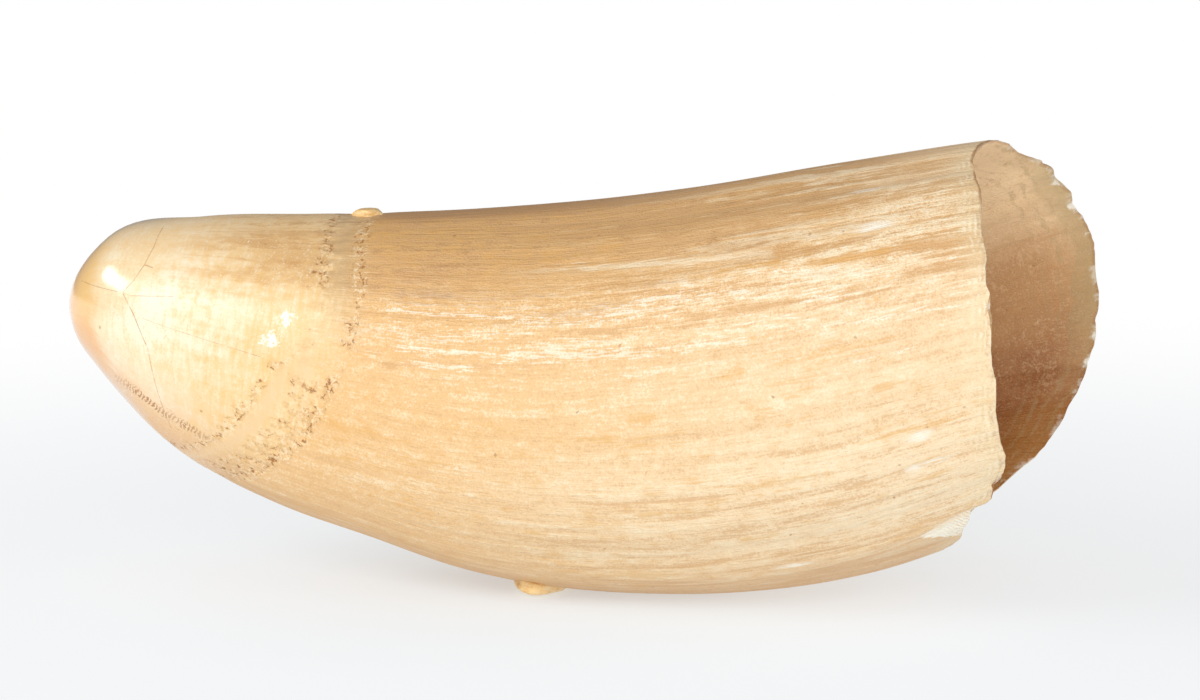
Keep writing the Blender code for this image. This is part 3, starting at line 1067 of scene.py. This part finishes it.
# Colours of the tooth: what each is for, and its red, green and blue.
COLOURS = {
    "crown": ("Polished cream of the crown", (0.94, 0.86, 0.65)),
    "crown_warm": ("Warmer clouds", (0.91, 0.72, 0.42)),
    "crown_pink": ("Pinkish clouds", (0.91, 0.66, 0.42)),
    "crown_gold": ("Golden part by the band", (0.86, 0.575, 0.245)),
    "crown_low": ("Lower edge of the crown", (0.77, 0.44, 0.19)),
    "crown_tan": ("Back of the crown", (0.90, 0.60, 0.29)),
    "tip": ("Apricot of the tip", (0.90, 0.56, 0.20)),
    "tip_dark": ("Orange at the very tip", (0.80, 0.385, 0.105)),
    "root_cream": ("Root towards the rim", (0.89, 0.65, 0.39)),
    "root_gold": ("Root by the crown", (0.84, 0.53, 0.24)),
    "root_pale": ("Palest streaks", (0.96, 0.82, 0.58)),
    "root_tan": ("Darker streaks", (0.71, 0.43, 0.20)),
    "root_ochre": ("Ochre streaks", (0.76, 0.42, 0.12)),
    "root_umber": ("Stain on the back", (0.65, 0.37, 0.148)),
    # Also painted shade: the shadow lines at the rim and along the very top of the back.
    "root_brown": ("Darkest stain", (0.48, 0.255, 0.105)),
    "chalk": ("Scuffs and fresh breaks", (0.97, 0.92, 0.79)),
    # Worn ridges and fresh breaks, and also painted highlights and sparkles.
    "gleam": ("Worn ridges", (1.0, 0.97, 0.84)),
    "rim_pale": ("Yellowish cream by the rim", (0.86, 0.72, 0.46)),
    "rim_dirt": ("Dirt in the growth lines", (0.66, 0.48, 0.23)),
    "band_grey": ("Greyish strip", (0.60, 0.41, 0.21)),
    "band_pale": ("Smooth pale strip", (0.86, 0.60, 0.33)),
    "band_brown": ("Stain round pits", (0.67, 0.40, 0.16)),
    "pit": ("Dirt in pits and cracks", (0.36, 0.155, 0.05)),
    "pit_warm": ("Rusty marks on the crown", (0.46, 0.22, 0.07)),
    # Painted light: the thin upper wall lit through.
    "cavity_tan": ("Upper wall", (1.0, 0.72, 0.42)),
    "cavity_mid": ("Middle wall", (0.59, 0.31, 0.125)),
    "cavity_spot": ("Rusty spots", (0.74, 0.40, 0.165)),
    "cavity_brown": ("Lower wall", (0.30, 0.08, 0.012)),
    # Painted light through the thin wall low by the rim.
    "cavity_amber": ("Lower wall by the rim", (0.44, 0.18, 0.03)),
    # Also painted light on the thin wall by the rim.
    "cavity_edge": ("Thin wall by the rim", (0.48, 0.34, 0.155)),
    # Painted shade deep in the cavity.
    "cavity_deep": ("End of the cavity", (0.16, 0.07, 0.03)),
    # Made light to make up for the shadow under the belly.
    "lump": ("Cream of the cementum lumps", (1.0, 0.71, 0.34)),
}


def colour_property(key, description, default):
    return FloatVectorProperty(
        name=key.replace("_", ", ").capitalize(),
        description=description,
        default=default,
        subtype="COLOR",
        size=3,
        min=0.0,
        max=1.0,
    )


class ToothShape(bpy.types.PropertyGroup):
    """Sizes of the tooth's fine form."""

    rim_wall: FloatProperty(
        name="Rim wall",
        description="Thickness of the root's wall at its rim",
        default=0.001,
        unit="LENGTH",
        precision=5,
    )
    ridge_height: FloatProperty(
        name="Ridge height",
        description="Height of the fine lengthwise ridges on the root",
        default=0.00004,
        unit="LENGTH",
        precision=6,
    )
    columns: IntProperty(name="Columns", description="Points round the tooth", default=560)
    rows: IntProperty(name="Rows", description="Rows from the tip to the rim", default=122)
    rim_rows: IntProperty(name="Rim rows", description="Rows close to the rim", default=12)
    lip_rows: IntProperty(name="Lip rows", description="Rows over the edge", default=5)
    inner_rows: IntProperty(name="Inner rows", description="Rows in the cavity", default=32)


class ToothColours(bpy.types.PropertyGroup):
    """Colours of the tooth's surface."""

    __annotations__ = {key: colour_property(key, *row) for key, row in COLOURS.items()}


class StudioSettings(bpy.types.PropertyGroup):
    """Floor and light."""

    floor: colour_property("floor", "Plain pale floor", (0.80, 0.89, 0.98))
    floor_radius: FloatProperty(
        name="Floor radius", description="Size of the floor", default=3.0, unit="LENGTH"
    )
    key_power: FloatProperty(name="Key", description="Power of the soft box", default=3.8)
    left_power: FloatProperty(name="Left", description="Power of the left box", default=2.4)
    front_power: FloatProperty(name="Front", description="Power of the front box", default=9.2)
    side_power: FloatProperty(name="Side", description="Power of the side box", default=2.2)
    fill: FloatProperty(name="Fill", description="Strength of the surroundings", default=0.27)


# ---- operators --------------------------------------------------------------------------


class BuildTooth(bpy.types.Operator):
    """Build the tooth's surface with its rim, cavity and paint"""

    bl_idname = "whale_tooth.tooth"
    bl_label = "Tooth"

    def execute(self, context):
        points, grain, place, wear = tooth_grid(context.scene.tooth_shape)
        centre, _ = rib(np.array([CAVITY_END]))
        tip = (TIP[0], 0.0, TIP[1])
        end = (centre[0, 0], 0.0, centre[0, 1])
        extras = {"grain": grain, "place": place, "wear": wear}
        mesh = closed_mesh("tooth_surface", points, tip, end, extras)
        made = piece("tooth_surface", mesh, tooth_paint(context.scene.tooth_colours))
        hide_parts(NODE)
        return {"FINISHED"}


class BuildLumps(bpy.types.Operator):
    """Build the two lumps of cementum"""

    bl_idname = "whale_tooth.lumps"
    bl_label = "Lumps"

    def execute(self, context):
        material = lump_paint(context.scene.tooth_colours)
        for name, (middle, half_sizes, flat_end, point) in LUMPS.items():
            grid, poles = lump_grid(middle, half_sizes, flat_end, point, *LUMP_GRID)
            mesh = closed_mesh(f"{name}_lump", grid, poles[0], poles[1])
            piece(f"{name}_lump", mesh, material)
        return {"FINISHED"}


def look(azimuth, elevation):
    """Unit vector from the target towards a viewer at these angles in degrees."""
    a, e = math.radians(azimuth), math.radians(elevation)
    return Vector((math.sin(a) * math.cos(e), -math.cos(a) * math.cos(e), math.sin(e)))


def turned_frame(back, roll):
    """Rotation whose -Z looks along -back, turned by roll degrees about it."""
    right = Vector((0, 0, 1)).cross(back).normalized()
    up = back.cross(right)
    c, s = math.cos(math.radians(roll)), math.sin(math.radians(roll))
    axes = (right * c - up * s, right * s + up * c, back)
    return Matrix(axes).transposed()


def aimed(data, azimuth, elevation, distance, roll=0.0):
    """Adds a camera or a light that looks at the target from these angles."""
    made = bpy.data.objects.new(data.name, data)
    back = look(azimuth, elevation)
    place = Vector(VIEW["target"]) + back * distance
    made.matrix_world = Matrix.Translation(place) @ turned_frame(back, roll).to_4x4()
    bpy.context.scene.collection.objects.link(made)
    return made


def add_camera():
    camera = bpy.data.cameras.new("camera")
    camera.lens = VIEW["lens"]
    camera.sensor_width = 36.0
    camera.clip_start = 0.01
    at = (VIEW["azimuth"], VIEW["elevation"], VIEW["distance"], VIEW["roll"])
    bpy.context.scene.camera = aimed(camera, *at)


def add_softbox(name, azimuth, elevation, distance, size, power):
    light = bpy.data.lights.new(name, "AREA")
    light.shape = "RECTANGLE"
    light.size, light.size_y = size
    light.energy = power
    aimed(light, azimuth, elevation, distance)


def floor_paint(studio):
    """A pale matt floor that turns into the white surroundings with distance."""
    paint = Paint("floor")
    spot = paint.node("ShaderNodeTexCoord", output=3)
    far = Value(paint, paint.vector_math("LENGTH", spot, output=1))
    glow = paint.node("ShaderNodeEmission", None, {0: WHITE, 1: 1.0})
    paint.finish({"Base Color": studio.floor, "Roughness": 0.9, "Specular IOR Level": 0.1})
    fade = 0.46 + 0.28 * far.step(0.0, 0.09) + 0.26 * far.step(0.08, 0.36)
    shader = paint.shader.outputs[0]
    mixed = paint.node("ShaderNodeMixShader", None, {0: fade, 1: shader, 2: glow})
    paint.feed(paint.tree.nodes["Material Output"].inputs["Surface"], mixed)
    return paint.material


class BuildStage(bpy.types.Operator):
    """Build the floor, the lights and the camera"""

    bl_idname = "whale_tooth.stage"
    bl_label = "Stage"

    def execute(self, context):
        studio = context.scene.studio
        half = studio.floor_radius
        corners = [(-half, -half, 0), (half, -half, 0), (half, half, 0), (-half, half, 0)]
        mesh = bpy.data.meshes.new("floor")
        mesh.from_pydata(corners, [], [(0, 1, 2, 3)])
        floor = bpy.data.objects.new("floor", mesh)
        context.scene.collection.objects.link(floor)
        floor.data.materials.append(floor_paint(studio))

        world = bpy.data.worlds.new("studio")
        world.use_nodes = True
        nodes, links = world.node_tree.nodes, world.node_tree.links
        back = nodes["Background"]
        back.inputs["Color"].default_value = WHITE
        seen = nodes.new("ShaderNodeLightPath")
        level = nodes.new("ShaderNodeMapRange")
        level.inputs["To Min"].default_value = studio.fill
        level.inputs["To Max"].default_value = 1.0
        links.new(seen.outputs["Is Camera Ray"], level.inputs["Value"])
        links.new(level.outputs["Result"], back.inputs["Strength"])
        context.scene.world = world
        context.scene.view_settings.view_transform = "Standard"

        for name, settings in LIGHTS.items():
            add_softbox(name, *settings, getattr(studio, f"{name}_power"))
        add_camera()
        return {"FINISHED"}


class ToothPanel(bpy.types.Panel):
    """Sizes, colours and build buttons"""

    bl_idname = "VIEW3D_PT_whale_tooth"
    bl_label = "Whale Tooth"
    bl_space_type = "VIEW_3D"
    bl_region_type = "UI"
    bl_category = "Tooth"

    def draw(self, context):
        scene = context.scene
        for group in (scene.tooth_shape, scene.tooth_colours, scene.studio):
            box = self.layout.box()
            for key in group.__annotations__:
                box.prop(group, key)
        for operator in BUILD_ORDER:
            self.layout.operator(operator.bl_idname)


BUILD_ORDER = (BuildTooth, BuildLumps, BuildStage)
CLASSES = (ToothShape, ToothColours, StudioSettings) + BUILD_ORDER + (ToothPanel,)


def register():
    for item in CLASSES:
        bpy.utils.register_class(item)
    bpy.types.Scene.tooth_shape = PointerProperty(type=ToothShape)
    bpy.types.Scene.tooth_colours = PointerProperty(type=ToothColours)
    bpy.types.Scene.studio = PointerProperty(type=StudioSettings)


def unregister():
    del bpy.types.Scene.studio
    del bpy.types.Scene.tooth_colours
    del bpy.types.Scene.tooth_shape
    for item in reversed(CLASSES):
        bpy.utils.unregister_class(item)


def main():
    register()
    bpy.ops.whale_tooth.tooth()
    bpy.ops.whale_tooth.lumps()
    bpy.ops.whale_tooth.stage()
    bpy.context.view_layer.update()


if __name__ == "__main__":
    main()
